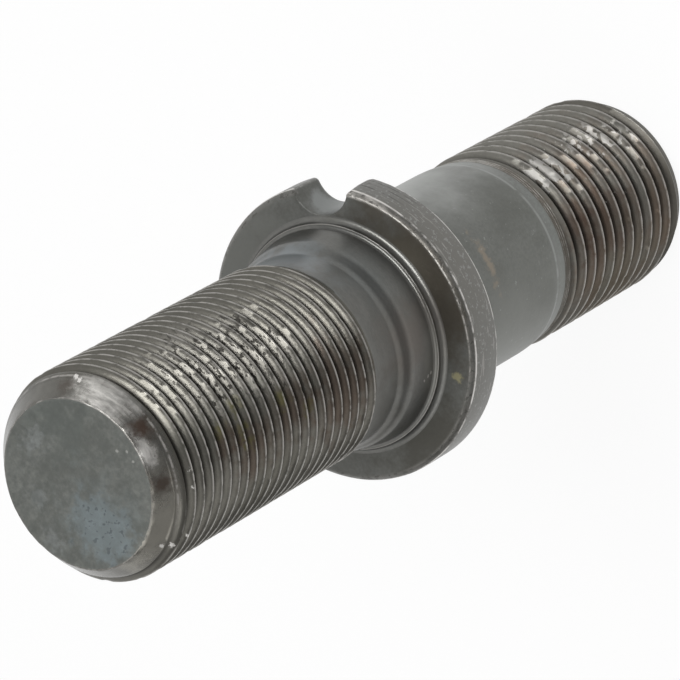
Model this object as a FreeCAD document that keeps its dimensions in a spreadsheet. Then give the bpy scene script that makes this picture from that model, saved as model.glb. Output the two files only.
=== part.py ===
import FreeCAD, Part
import math
import os
import Sketcher

# A wheel bolt of the stud kind, turned from one bar: a coarse thread that screws into the hub,
# a plain shank, a round collar with a half-round notch, a tapered boss, a neck and a fine thread
# for the wheel nut. It stands on the coarse end, with +Z along its axis, and the notch faces the
# quarter between +X and +Y, so the bolt's box stays centred on its axis.
# The threads have their crest diameter here, as plain lengths with run-outs and chamfered ends.

NODE = "wheel_bolt"

SIZES = (
    ("hub_thread_diameter", 22.0, "crest diameter of the coarse thread"),
    ("hub_thread_length", 24.1, "coarse thread with its end chamfer and its run-out"),
    ("hub_thread_runout", 1.0, "length over which the coarse thread fades out"),
    ("hub_chamfer_length", 2.0, "chamfer on the coarse end, along the axis"),
    ("hub_chamfer_width", 0.85, "chamfer on the coarse end, across the radius"),
    ("relief_depth", 0.4, "waist below the coarse thread's crests, on the radius"),
    ("relief_length", 3.4, "taper from the waist up to the shank"),
    ("shank_diameter", 21.9, "plain shank that fills the hub's hole"),
    ("shank_length", 20.0, "from the taper to the collar's seat"),
    ("seat_fillet", 0.6, "blend between the shank and the collar's seat"),
    ("collar_diameter", 32.0, "round collar"),
    ("collar_thickness", 4.8, "collar along the axis"),
    ("collar_top_chamfer", 0.5, "edge of the collar on the nut side"),
    ("collar_seat_chamfer", 0.3, "edge of the collar on the hub side"),
    ("notch_radius", 3.4, "half-round notch through the collar's rim"),
    ("notch_depth", 3.1, "notch below the rim, on the radius"),
    ("notch_mouth_fillet", 0.8, "rounding where the notch opens through the rim"),
    ("notch_bearing", 45.0, "turn of the notch about the axis from +X, in degrees"),
    ("boss_length", 4.7, "tapered boss on the collar"),
    ("boss_step", 0.8, "step from the neck up to the boss, on the radius"),
    ("boss_flare", 0.6, "growth of the boss towards the collar, on the radius"),
    ("boss_fillet", 1.1, "blend between the boss and the collar"),
    ("neck_depth", 0.5, "neck below the fine thread's crests, on the radius"),
    ("neck_length", 5.0, "plain neck between the boss and the fine thread"),
    ("neck_fillet", 0.65, "blend between the neck and the boss's step"),
    ("nut_thread_diameter", 22.0, "crest diameter of the fine thread"),
    ("nut_thread_length", 36.5, "fine thread with its run-out and its end chamfer"),
    ("nut_thread_runout", 0.8, "length over which the fine thread fades out"),
    ("nut_chamfer_length", 2.8, "chamfer on the fine end, along the axis"),
    ("nut_chamfer_width", 2.25, "chamfer on the fine end, across the radius"),
)

# A fillet takes at most this share of the step that it runs into.
FILLET_SHARE = 0.9
TOLERANCE = 1e-4


def make_sheet(doc):
    """Put every driving dimension into an aliased cell, with its meaning beside it."""
    sheet = doc.addObject("Spreadsheet::Sheet", "Sizes")
    for row, (alias, value, meaning) in enumerate(SIZES, start=1):
        sheet.set(f"A{row}", alias)
        sheet.set(f"B{row}", str(value))
        sheet.setAlias(f"B{row}", alias)
        sheet.set(f"C{row}", meaning)
    doc.recompute()
    return sheet


def cell(alias):
    """Name a cell of the sheet inside an expression."""
    return f"<<Sizes>>.{alias}"


# Radii and heights of the section, as expressions of the sheet's cells.
HUB_RADIUS = f"{cell('hub_thread_diameter')} / 2"
RELIEF_RADIUS = f"{HUB_RADIUS} - {cell('relief_depth')}"
SHANK_RADIUS = f"{cell('shank_diameter')} / 2"
COLLAR_RADIUS = f"{cell('collar_diameter')} / 2"
NUT_RADIUS = f"{cell('nut_thread_diameter')} / 2"
NECK_RADIUS = f"{NUT_RADIUS} - {cell('neck_depth')}"
BOSS_TOP_RADIUS = f"{NECK_RADIUS} + {cell('boss_step')}"
BOSS_BASE_RADIUS = f"{BOSS_TOP_RADIUS} + {cell('boss_flare')}"
SEAT_HEIGHT = f"{cell('hub_thread_length')} + {cell('relief_length')} + {cell('shank_length')}"
COLLAR_TOP = f"{SEAT_HEIGHT} + {cell('collar_thickness')}"
BOSS_TOP = f"{COLLAR_TOP} + {cell('boss_length')}"

HUB_PLAIN = (f"{cell('hub_thread_length')} - {cell('hub_chamfer_length')}"
             f" - {cell('hub_thread_runout')}")
NUT_PLAIN = (f"{cell('nut_thread_length')} - {cell('nut_chamfer_length')}"
             f" - {cell('nut_thread_runout')}")

# Corners of the half section, from the coarse end's face upwards: the radius, then the rise
# above the corner before it. No rise is a face square to the axis.
CORNERS = (
    (f"{HUB_RADIUS} - {cell('hub_chamfer_width')}", None),
    (HUB_RADIUS, cell("hub_chamfer_length")),
    (HUB_RADIUS, HUB_PLAIN),
    (RELIEF_RADIUS, cell("hub_thread_runout")),
    (SHANK_RADIUS, cell("relief_length")),
    (SHANK_RADIUS, cell("shank_length")),
    (COLLAR_RADIUS, None),
    (COLLAR_RADIUS, cell("collar_thickness")),
    (BOSS_BASE_RADIUS, None),
    (BOSS_TOP_RADIUS, cell("boss_length")),
    (NECK_RADIUS, None),
    (NECK_RADIUS, cell("neck_length")),
    (NUT_RADIUS, cell("nut_thread_runout")),
    (NUT_RADIUS, NUT_PLAIN),
    (f"{NUT_RADIUS} - {cell('nut_chamfer_width')}", cell("nut_chamfer_length")),
)


def origin_plane(body, role):
    """Find one of the body's own origin planes."""
    return next(item for item in body.Origin.OriginFeatures if item.Role == role)


def bind(sketch, constraint, name, expression):
    """Add a dimension to a sketch and tie it to the sheet."""
    index = sketch.addConstraint(constraint)
    sketch.renameConstraint(index, name)
    sketch.setExpression(f"Constraints.{name}", expression)


def draw_section(sheet, sketch):
    """Draw the closed half section, with one dimension or direction for each free step."""
    start = (0.0, 0.0)
    points = [start]
    height = 0.0
    for radius, rise in CORNERS:
        height += sheet.evalExpression(rise) if rise else 0.0
        points.append((sheet.evalExpression(radius), height))
    points.append((0.0, height))
    vectors = [FreeCAD.Vector(x, y, 0) for x, y in points]
    lines = [Part.LineSegment(a, b) for a, b in zip(vectors, vectors[1:] + vectors[:1])]
    sketch.addGeometry(lines, False)
    last = len(lines) - 1
    for index in range(last):
        sketch.addConstraint(Sketcher.Constraint("Coincident", index, 2, index + 1, 1))
    sketch.addConstraint(Sketcher.Constraint("Coincident", last, 2, 0, 1))
    sketch.addConstraint(Sketcher.Constraint("Coincident", 0, 1, -1, 1))
    sketch.addConstraint(Sketcher.Constraint("Vertical", last))
    sketch.addConstraint(Sketcher.Constraint("Horizontal", last - 1))
    before = None
    for index, (radius, rise) in enumerate(CORNERS):
        x, y = points[index + 1]
        if rise:
            step = Sketcher.Constraint("DistanceY", index, 1, index, 2, y - points[index][1])
            bind(sketch, step, f"rise_{index}", rise)
        else:
            sketch.addConstraint(Sketcher.Constraint("Horizontal", index))
        if radius == before:
            sketch.addConstraint(Sketcher.Constraint("Vertical", index))
        else:
            reach = Sketcher.Constraint("DistanceX", -1, 1, index, 2, x)
            bind(sketch, reach, f"radius_{index}", radius)
        before = radius


def ring_edge(shape, radius, height):
    """Name the circular edge about the axis that has this radius and height."""
    for number, edge in enumerate(shape.Edges, start=1):
        curve = edge.Curve
        if not isinstance(curve, Part.Circle):
            continue
        if abs(curve.Radius - radius) < TOLERANCE and abs(curve.Center.z - height) < TOLERANCE:
            return f"Edge{number}"
    raise ValueError(f"no ring of radius {radius} at height {height}")


def mouth_edges(shape, radius, seat, top):
    """Name the straight edges where the notch opens through the collar's rim."""
    found = []
    for number, edge in enumerate(shape.Edges, start=1):
        if not isinstance(edge.Curve, Part.Line):
            continue
        middle = edge.CenterOfMass
        on_rim = abs((middle.x ** 2 + middle.y ** 2) ** 0.5 - radius) < TOLERANCE
        upright = edge.BoundBox.DiagonalLength - edge.BoundBox.ZLength < TOLERANCE
        if on_rim and upright and seat < middle.z < top:
            found.append(f"Edge{number}")
    if len(found) != 2:
        raise ValueError(f"the notch has {len(found)} mouth edges")
    return found


def dress(body, kind, name, base, edges, size):
    """Add a fillet or a chamfer on named edges of the feature before it."""
    feature = body.newObject(f"PartDesign::{kind}", name)
    feature.Base = (base, edges)
    feature.setExpression("Radius" if kind == "Fillet" else "Size", size)
    body.Document.recompute()
    return feature


def make_bolt(doc, sheet):
    """Turn the bolt, blend its corners, break its edges and cut the notch."""
    body = doc.addObject("PartDesign::Body", NODE)
    body.Label = NODE

    section = body.newObject("Sketcher::SketchObject", "half_section")
    section.AttachmentSupport = [(origin_plane(body, "XZ_Plane"), "")]
    section.MapMode = "FlatFace"
    draw_section(sheet, section)
    turned = body.newObject("PartDesign::Revolution", "turned_blank")
    turned.Profile = section
    turned.ReferenceAxis = (section, ["V_Axis"])
    turned.Angle = 360.0
    doc.recompute()

    at = sheet.evalExpression
    shank, collar = at(SHANK_RADIUS), at(COLLAR_RADIUS)
    seat, top = at(SEAT_HEIGHT), at(COLLAR_TOP)

    corner = ring_edge(turned.Shape, shank, seat)
    blend = dress(body, "Fillet", "seat_blend", turned, [corner], cell("seat_fillet"))
    corner = ring_edge(blend.Shape, at(BOSS_BASE_RADIUS), top)
    blend = dress(body, "Fillet", "boss_blend", blend, [corner], cell("boss_fillet"))
    corner = ring_edge(blend.Shape, at(NECK_RADIUS), at(BOSS_TOP))
    limit = f"min({cell('neck_fillet')}; {FILLET_SHARE} * {cell('boss_step')})"
    blend = dress(body, "Fillet", "neck_blend", blend, [corner], limit)

    rim = ring_edge(blend.Shape, collar, top)
    broken = dress(body, "Chamfer", "top_edge", blend, [rim], cell("collar_top_chamfer"))
    rim = ring_edge(broken.Shape, collar, seat)
    broken = dress(body, "Chamfer", "seat_edge", broken, [rim], cell("collar_seat_chamfer"))

    outline = body.newObject("Sketcher::SketchObject", "notch_outline")
    outline.AttachmentSupport = [(origin_plane(body, "XY_Plane"), "")]
    outline.MapMode = "FlatFace"
    outline.setExpression("AttachmentOffset.Base.z", f"{COLLAR_TOP} + {cell('boss_fillet')}")
    middle = f"{COLLAR_RADIUS} - {cell('notch_depth')} + {cell('notch_radius')}"
    bearing = math.radians(sheet.notch_bearing)
    centre = FreeCAD.Vector(math.cos(bearing), math.sin(bearing), 0) * at(middle)
    round_cut = Part.Circle(centre, FreeCAD.Vector(0, 0, 1), sheet.notch_radius)
    outline.addGeometry(round_cut, False)
    outline.addGeometry(Part.LineSegment(FreeCAD.Vector(0, 0, 0), centre), True)
    outline.addConstraint(Sketcher.Constraint("Coincident", 1, 1, -1, 1))
    outline.addConstraint(Sketcher.Constraint("Coincident", 1, 2, 0, 3))
    bind(outline, Sketcher.Constraint("Radius", 0, sheet.notch_radius), "notch", cell("notch_radius"))
    bind(outline, Sketcher.Constraint("Distance", 1, at(middle)), "reach", middle)
    bind(outline, Sketcher.Constraint("Angle", 1, bearing), "bearing", cell("notch_bearing"))
    notch = body.newObject("PartDesign::Pocket", "notch")
    notch.Profile = outline
    notch.setExpression("Length", f"{cell('collar_thickness')} + {cell('boss_fillet')}")
    doc.recompute()
    if notch.Shape.Volume >= broken.Shape.Volume:
        raise ValueError("the notch cuts nothing")

    mouth = mouth_edges(notch.Shape, collar, seat, top)
    dress(body, "Fillet", "notch_mouth", notch, mouth, cell("notch_mouth_fillet"))
    return body


def check(doc, body):
    """Stop if any feature failed or the solid isn't sound."""
    for item in doc.Objects:
        if "Invalid" in item.State or "Error" in item.State:
            raise ValueError(f"{item.Name} failed: {item.State}")
    shape = body.Shape
    if shape.isNull() or not shape.isValid() or len(shape.Solids) != 1:
        raise ValueError(f"{body.Label} isn't one sound solid")


document = FreeCAD.newDocument("wheel_bolt")
sizes = make_sheet(document)
bolt = make_bolt(document, sizes)
document.recompute()
check(document, bolt)

os.makedirs("parts", exist_ok=True)
bolt.Shape.exportStep(os.path.join("parts", f"{bolt.Label}.step"))
box = bolt.Shape.BoundBox
print(f"{bolt.Label}: {box.XLength:.2f} x {box.YLength:.2f} x {box.ZLength:.2f} mm,"
      f" {bolt.Shape.Volume / 1000:.2f} cm3")
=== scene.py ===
# %% [markdown]
# # A wheel bolt of the stud kind
# The real part is one bar of steel, turned on a lathe, with a thread rolled on each end. The CAD
# solid gives its size and place. This lesson builds the bolt that the camera sees around that
# solid: the same turned form, with real helical threads and a dark, oiled and handled finish.

# %% Load the frame
import math

import bmesh
import bpy
from mathutils import Matrix, Vector, noise


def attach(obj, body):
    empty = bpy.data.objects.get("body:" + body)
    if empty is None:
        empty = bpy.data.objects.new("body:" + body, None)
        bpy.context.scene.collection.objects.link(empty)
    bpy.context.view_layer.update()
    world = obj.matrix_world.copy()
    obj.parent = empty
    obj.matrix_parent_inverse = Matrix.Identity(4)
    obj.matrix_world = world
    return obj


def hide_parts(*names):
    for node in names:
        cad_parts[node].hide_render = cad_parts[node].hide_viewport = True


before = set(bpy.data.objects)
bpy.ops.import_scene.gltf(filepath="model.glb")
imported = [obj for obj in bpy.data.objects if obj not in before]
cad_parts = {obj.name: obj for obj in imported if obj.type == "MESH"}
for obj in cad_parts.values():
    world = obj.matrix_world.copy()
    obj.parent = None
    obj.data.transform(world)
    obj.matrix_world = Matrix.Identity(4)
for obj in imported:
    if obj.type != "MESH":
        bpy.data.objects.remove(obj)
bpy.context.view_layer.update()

MM = 0.001

# %% [markdown]
# ## Camera
# The picture looks at the fine end from above with a long lens, and the bolt lies across the frame
# from bottom left to top right. Our bolt stands upright on its coarse end, so the camera is placed
# by its bearing and height above the floor and then rolled about its own line of sight.

# %% Set the camera
AIM = Vector((-0.10, -0.30, 52.96)) * MM
CAMERA_DISTANCE = 507.44 * MM
CAMERA_BEARING = math.radians(-19.04)
CAMERA_HEIGHT = math.radians(50.94)
CAMERA_ROLL = math.radians(-119.45)
LENS = 260.97
SENSOR = 36
QUARTER = math.pi / 2

turn = Matrix.Rotation(CAMERA_BEARING + QUARTER, 3, "Z")
tilt = Matrix.Rotation(QUARTER - CAMERA_HEIGHT, 3, "X")
roll = Matrix.Rotation(CAMERA_ROLL, 3, "Z")
stance = turn @ tilt @ roll
bpy.ops.object.camera_add(location=AIM + stance.col[2] * CAMERA_DISTANCE, rotation=stance.to_euler())
camera = bpy.context.object
camera.data.lens = LENS
camera.data.sensor_width = SENSOR
camera.data.clip_start = 0.05
camera.data.clip_end = 20
bpy.context.scene.camera = camera
print("camera at", [round(x / MM, 1) for x in camera.location], "mm")

# %% [markdown]
# ## Turned middle
# Between the two threads the bar has a waist, a plain shank, the collar, a tapered boss and a neck.
# Where the boss stands on the collar a narrow ledge is left, which shows as a second bright line,
# and the thread rolls left three faint ridges at the waist. The ring just below the neck's end keeps
# the smooth shading of the neck apart from that of the thread.
# All of them are round, so one ring of points is enough to start with: it is extruded up the axis
# and scaled to each new radius, the way a lathe tool follows the outline.

# %% Extrude a ring along the outline
SEGMENTS = 160
WAIST = (10.6, 24.1)
SHANK_LOW = (10.95, 27.5)
SHANK_TOP = (10.95, 47.5)
COLLAR_LOW = (16.0, 47.5)
COLLAR_TOP = (16.0, 52.3)
FOOT = (12.3, 52.3)
LEDGE_OUT = (12.25, 53.05)
LEDGE_IN = (11.8, 53.05)
BOSS_TOP = (11.3, 56.6)
NECK_LOW = (10.5, 57.5)
NECK_END = (10.5, 61.75)
NECK_TOP = (10.5, 62.0)
ROLL_MARKS = ((10.69, 24.35), (10.58, 24.45), (10.72, 24.75), (10.61, 24.85), (10.75, 25.15),
              (10.68, 25.22))
OUTLINE = (WAIST, *ROLL_MARKS, SHANK_LOW, SHANK_TOP, COLLAR_LOW, COLLAR_TOP, FOOT, LEDGE_OUT,
           LEDGE_IN, BOSS_TOP, NECK_LOW, NECK_END, NECK_TOP)


def leave_edit():
    """Go back to object mode, if it isn't on already."""
    if bpy.context.mode != "OBJECT":
        bpy.ops.object.mode_set(mode="OBJECT")


def edit(piece):
    """Open a piece, and only that piece, in edit mode."""
    leave_edit()
    bpy.ops.object.select_all(action="DESELECT")
    piece.select_set(True)
    bpy.context.view_layer.objects.active = piece
    bpy.ops.object.mode_set(mode="EDIT")


def grow_rings(rings, axis=(0, 0, 0)):
    """Extrude what is selected from ring to ring, each a radius and a height in millimetres."""
    for (radius_before, height_before), (radius, height) in zip(rings, rings[1:]):
        rise = (0, 0, (height - height_before) * MM)
        bpy.ops.mesh.extrude_region_move(TRANSFORM_OT_translate={"value": rise})
        scale = radius / radius_before
        bpy.ops.transform.resize(value=(scale, scale, 1), center_override=axis)


bpy.ops.mesh.primitive_circle_add(vertices=SEGMENTS, radius=WAIST[0] * MM, location=(0, 0, 0))
bolt = bpy.context.object
bolt.name = "wheel_bolt_dressed"
edit(bolt)
bpy.ops.mesh.select_all(action="SELECT")
bpy.ops.transform.translate(value=(0, 0, WAIST[1] * MM))
grow_rings(OUTLINE)
print("turned middle:", len(bmesh.from_edit_mesh(bolt.data).verts), "points")

# %% [markdown]
# ## Blends and broken edges
# A turned corner is never sharp: the tool's nose leaves a blend in each inner corner, and the outer
# edges are chamfered and then dulled by handling. A bevel on each ring gives both. Several segments
# make a round, one segment makes a flat chamfer.

# %% Bevel the rings
NEAR = 0.004


def on_ring(radius, height):
    """A test for points on one ring, in millimetres."""
    def test(co):
        return abs(co.xy.length / MM - radius) < NEAR and abs(co.z / MM - height) < NEAR
    return test


def pick(kind, test):
    """Select the points, edges or faces of the open piece that pass a test, and say how many."""
    bpy.ops.mesh.select_mode(type=kind)
    bpy.ops.mesh.select_all(action="DESELECT")
    data = bpy.context.object.data
    mesh = bmesh.from_edit_mesh(data)
    parts = {"VERT": mesh.verts, "EDGE": mesh.edges, "FACE": mesh.faces}[kind]
    picked = [part for part in parts if test(part)]
    for part in picked:
        part.select_set(True)
    mesh.select_flush_mode()
    bmesh.update_edit_mesh(data)
    return len(picked)


def pick_edges(test):
    """Select the edges whose two ends both pass a test, and say how many."""
    return pick("EDGE", lambda edge: all(test(vertex.co) for vertex in edge.verts))


def bevel(test, size, segments):
    """Bevel the edges whose two ends both pass a test, by a size in millimetres."""
    count = pick_edges(test)
    bpy.ops.mesh.bevel(offset=size * MM, offset_type="OFFSET", segments=segments, affect="EDGES")
    print(count, "edges bevelled by", size, "mm")


CHAMFER_TOP = 0.5
CHAMFER_SEAT = 0.3
chamfer_in = COLLAR_TOP[0] - CHAMFER_TOP
chamfer_low = COLLAR_TOP[1] - CHAMFER_TOP
seat_high = COLLAR_LOW[1] + CHAMFER_SEAT
# Ring, size and segments of each bevel
BEVELS = (
    (SHANK_LOW, 1.0, 3), (SHANK_TOP, 0.6, 4), (FOOT, 0.6, 6), (LEDGE_IN, 0.3, 4), (LEDGE_OUT, 0.1, 2),
    (NECK_LOW, 0.6, 5), (BOSS_TOP, 0.5, 5), (COLLAR_LOW, CHAMFER_SEAT, 1), (COLLAR_TOP, CHAMFER_TOP, 1),
    ((chamfer_in, COLLAR_TOP[1]), 0.04, 1), ((COLLAR_TOP[0], chamfer_low), 0.12, 2),
    ((COLLAR_LOW[0], seat_high), 0.10, 2),
)
for ring, size, segments in BEVELS:
    bevel(on_ring(*ring), size, segments)

# %% [markdown]
# ## Notch in the collar
# One half-round notch goes through the collar's rim. Its two lips are rounded over, and so is its
# whole edge on the hub's side. A Boolean with a cutter of that outline is the same cut as a mill
# makes. The cutter's outline is drawn point by point: the round bottom, the two lips, and then a
# straight way out past the rim. On its way down the cutter narrows a little, as the notch does in the
# picture, and near the hub's side it is flared, step by step, for the round edge. No point of the
# cutter lies right on an edge of the collar, because a Boolean is unsure of such a point: the bottom
# of the notch is the middle of a short facet.

# %% Draw the cutter
NOTCH_BEARING = math.radians(45)
NOTCH_RADIUS = 3.4
NOTCH_DEPTH = 3.1
LIP_RADIUS = 0.6
ARC_STEPS = 18
LIP_STEPS = 7
# Depth below the collar's top, and the share of the radius there
NARROWING = ((0.4, 1.0), (1.3, 0.96), (2.2, 0.925), (3.2, 0.915))
FLARE = 0.9
FLARE_STEPS = 5
CUT_CLEAR = 1.5
NOTCH_EDGE = 0.1

notch_middle = COLLAR_TOP[0] - NOTCH_DEPTH + NOTCH_RADIUS
lip_orbit = COLLAR_TOP[0] - LIP_RADIUS
lip_gap = NOTCH_RADIUS + LIP_RADIUS
lip_along = (lip_orbit ** 2 - lip_gap ** 2 + notch_middle ** 2) / (2 * notch_middle)
lip_across = math.sqrt(lip_orbit ** 2 - lip_along ** 2)


def arc(centre, radius, start, end, steps):
    """Points round an arc, ends included."""
    angles = [start + (end - start) * step / steps for step in range(steps + 1)]
    return [(centre[0] + radius * math.cos(a), centre[1] + radius * math.sin(a)) for a in angles]


def draw_chain(name, points):
    """A new mesh: one vertex, extruded from point to point, in millimetres."""
    leave_edit()
    bpy.ops.mesh.primitive_plane_add(size=MM, location=(0, 0, 0))
    piece = bpy.context.object
    piece.name = name
    bpy.ops.object.mode_set(mode="EDIT")
    bpy.ops.mesh.select_mode(type="VERT")
    bpy.ops.mesh.select_all(action="SELECT")
    bpy.ops.mesh.merge(type="CENTER")
    bpy.ops.transform.translate(value=Vector(points[0]) * MM)
    for before, after in zip(points, points[1:]):
        step = (Vector(after) - Vector(before)) * MM
        bpy.ops.mesh.extrude_vertices_move(TRANSFORM_OT_translate={"value": step})
    return piece


def face_outwards():
    """Turn all faces of the open piece to the outside."""
    bpy.ops.mesh.select_all(action="SELECT")
    bpy.ops.mesh.normals_make_consistent(inside=False)


lip_angle = math.atan2(lip_across, lip_along)
lip_turn = math.atan2(lip_across, notch_middle - lip_along)
bottom_half = lip_turn / (2 * ARC_STEPS + 1)
half = arc((notch_middle, 0), NOTCH_RADIUS, math.pi - bottom_half, math.pi - lip_turn, ARC_STEPS)
half += arc((lip_along, lip_across), LIP_RADIUS, -lip_turn, lip_angle, LIP_STEPS)[1:]
half.append((COLLAR_TOP[0] + CUT_CLEAR, lip_across + LIP_RADIUS))
outline = [(x, -y) for x, y in reversed(half)] + half
face_notch = Matrix.Rotation(NOTCH_BEARING, 3, "Z")
cut_top = COLLAR_TOP[1] + CUT_CLEAR
cutter = draw_chain("notch_cutter", [face_notch @ Vector((x, y, cut_top)) for x, y in outline])
bpy.ops.mesh.select_all(action="SELECT")
bpy.ops.mesh.edge_face_add()
notch_axis = face_notch @ Vector((notch_middle, 0, 0)) * MM
rings = [(NOTCH_RADIUS, cut_top)]
rings += [(NOTCH_RADIUS * share, COLLAR_TOP[1] - depth) for depth, share in NARROWING]
throat = rings[-1][0]
for step in range(FLARE_STEPS + 1):
    angle = QUARTER * step / FLARE_STEPS
    spread = FLARE * (1 - math.cos(angle))
    rings.append((throat + spread, COLLAR_LOW[1] + FLARE * (1 - math.sin(angle))))
rings.append((throat + FLARE, COLLAR_LOW[1] - CUT_CLEAR))
grow_rings(rings, notch_axis)
face_outwards()
leave_edit()
print("cutter:", len(outline), "points round, lips", round(2 * lip_across, 2), "mm apart")

# %% [markdown]
# A Boolean needs a closed body, so the two open rings get a lid first. The lids are taken off again
# after the cut, because the threads will close those ends.

# %% Cut the notch


def cap_ring(ring):
    """Close an open ring with a lid."""
    pick_edges(on_ring(*ring))
    bpy.ops.mesh.edge_face_add()


def lies_at(part, height):
    """Whether an edge or a face lies whole at one height, in millimetres."""
    return all(abs(vertex.co.z / MM - height) < NEAR for vertex in part.verts)


def drop_lids(*heights):
    """Delete the flat faces that lie whole at one of these heights."""
    pick("FACE", lambda face: any(lies_at(face, height) for height in heights))
    bpy.ops.mesh.delete(type="ONLY_FACE")


edit(bolt)
cap_ring(WAIST)
cap_ring(NECK_TOP)
face_outwards()
leave_edit()
cut = bolt.modifiers.new("notch", "BOOLEAN")
cut.object = cutter
cut.operation = "DIFFERENCE"
cut.solver = "EXACT"
bpy.ops.object.modifier_apply(modifier="notch")
bpy.data.objects.remove(cutter)
edit(bolt)
drop_lids(WAIST[1], NECK_TOP[1])


def on_notch_edge(height):
    """A test for the notch's own edge on one face of the collar, lips left out."""
    def test(co):
        apart = (co.xy - notch_axis.xy).length / MM
        return abs(co.z / MM - height) < NEAR and apart < NOTCH_RADIUS + NEAR
    return test


bevel(on_notch_edge(COLLAR_TOP[1]), NOTCH_EDGE, 2)
leave_edit()

# %% [markdown]
# ## Threads
# Both ends have a rolled thread: 60 degrees between the flanks, narrow crests and rounded roots, a
# fine one of 1.5 mm pitch for the nut and a coarse one of 2 mm for the hub, both right-hand. One
# tooth is drawn once, and a Screw modifier winds it up the axis. That gives true helices, which
# rings stacked on each other would not.

# %% Wind a thread
GROOVE = 0.613
# Along the bar and down from the crest, both in pitches
TOOTH = (
    (-0.5, GROOVE), (-0.44, 0.59), (-0.375, 0.53), (-0.22, 0.27), (-0.075, 0.02), (-0.04, 0.0),
    (0.04, 0.0), (0.075, 0.02), (0.22, 0.27), (0.375, 0.53), (0.44, 0.59), (0.5, GROOVE),
)
CREST = 11.0
LENGTH = 98.5
MERGE = 0.000002


def merge_doubles():
    """Merge the points of the open piece that lie in one place."""
    bpy.ops.mesh.select_all(action="SELECT")
    bpy.ops.mesh.remove_doubles(threshold=MERGE)


def wind_thread(name, pitch, crest_height, low, high):
    """Wind one tooth from a turn below low to a turn above high, then merge its turns."""
    below = math.ceil((crest_height + 1.5 * pitch - low) / pitch)
    start = crest_height - below * pitch
    turns = math.ceil((high - start) / pitch) + 1
    points = [(CREST - depth * pitch, 0, start + along * pitch) for along, depth in TOOTH]
    thread = draw_chain(name, points)
    leave_edit()
    screw = thread.modifiers.new("wind", "SCREW")
    screw.axis = "Z"
    screw.angle = 2 * math.pi
    screw.screw_offset = pitch * MM
    screw.iterations = turns
    screw.steps = SEGMENTS
    bpy.ops.object.modifier_apply(modifier="wind")
    edit(thread)
    merge_doubles()
    leave_edit()
    print(name, "wound", turns, "turns,", len(thread.data.vertices), "points")
    return thread


FINE_PITCH = 1.5
FINE_CREST_AT = 94.689
COARSE_PITCH = 2.0
COARSE_CREST_AT = 23.767
FINE_GROOVE = GROOVE * FINE_PITCH
COARSE_GROOVE = GROOVE * COARSE_PITCH
fine = wind_thread("fine_thread", FINE_PITCH, FINE_CREST_AT, NECK_TOP[1], LENGTH)
coarse = wind_thread("coarse_thread", COARSE_PITCH, COARSE_CREST_AT, 0.0, WAIST[1])

# %% [markdown]
# A wound thread starts and stops in mid air, a turn too long at each end. The spare turns are
# pressed flat onto the plane where the thread has to stop, with a scale of zero along the axis.
# Then each point is held between a floor and a ceiling: the ceiling is the end chamfer and the
# neck, the floor is the shallow end of the groove where the rolls let go. No operator trims to a
# cone like that, so this is done point by point. The same pass dents the crests a little, and on
# the side where the bolt was knocked about it flattens them in short streaks.

# %% Trim the threads
CHAMFER_START = 95.7
CHAMFER_DROP = 2.25
NECK_RUN = 0.8
FINE_FADE = 1.4
HUB_CHAMFER = 2.0
HUB_DROP = 0.85
HUB_RUN = 1.0
COARSE_FADE = 2.0
# Two heights above the hub's end, and the depth of the last groove at each
LAST_GROOVE = (0.6, 2.6, 0.1, 1.3)
DENT_SIZE = 1.1
DENT_START = 0.28
DENT_DEPTH = 0.22
CREST_BAND = 0.2
KNOCK_BEARING = math.radians(4)
KNOCK_HALF = math.radians(22)
KNOCK_SIZE = Vector((1.3, 1.3, 0.6))
KNOCK_START = 0.0
KNOCK_DEPTH = 0.17
KNOCK_FADE = 3.0
FINE_KNOCKED = (73, 93)
COARSE_KNOCKED = (5, 22)
SNAP = 0.03


def ramp(x, x0, x1, y0, y1):
    """A straight run from y0 at x0 to y1 at x1, level outside."""
    share = min(1.0, max(0.0, (x - x0) / (x1 - x0)))
    return y0 + (y1 - y0) * share


def fine_limits(z):
    """Floor and ceiling of the fine thread at one height."""
    neck = NECK_TOP[1]
    floor = ramp(z, neck, neck + FINE_FADE, NECK_TOP[0], CREST - FINE_GROOVE)
    run_out = ramp(z, neck, neck + NECK_RUN, NECK_TOP[0], CREST)
    chamfer = ramp(z, CHAMFER_START, LENGTH, CREST, CREST - CHAMFER_DROP)
    return floor, min(run_out, chamfer)


def coarse_limits(z):
    """Floor and ceiling of the coarse thread at one height."""
    waist = WAIST[1]
    floor = ramp(z, waist - COARSE_FADE, waist, CREST - COARSE_GROOVE, WAIST[0])
    run_out = ramp(z, waist - HUB_RUN, waist, CREST, WAIST[0])
    chamfer = ramp(z, 0, HUB_CHAMFER, CREST - HUB_DROP, CREST)
    last_groove = ramp(z, *LAST_GROOVE)
    return max(floor, chamfer - last_groove), min(run_out, chamfer)


def press_flat(height, above):
    """Press every point beyond a height, or just short of it, onto the plane at that height."""
    edge = (height - SNAP) * MM if above else (height + SNAP) * MM
    pick("VERT", lambda vertex: vertex.co.z > edge if above else vertex.co.z < edge)
    bpy.ops.transform.resize(value=(1, 1, 0), center_override=(0, 0, height * MM))


def groove_depth(along):
    """Depth of the groove, in pitches, this far along from a crest, in pitches."""
    along = (along + 0.5) % 1.0 - 0.5
    for (x0, y0), (x1, y1) in zip(TOOTH, TOOTH[1:]):
        if along <= x1:
            return ramp(along, x0, x1, y0, y1)
    return TOOTH[-1][1]


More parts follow.
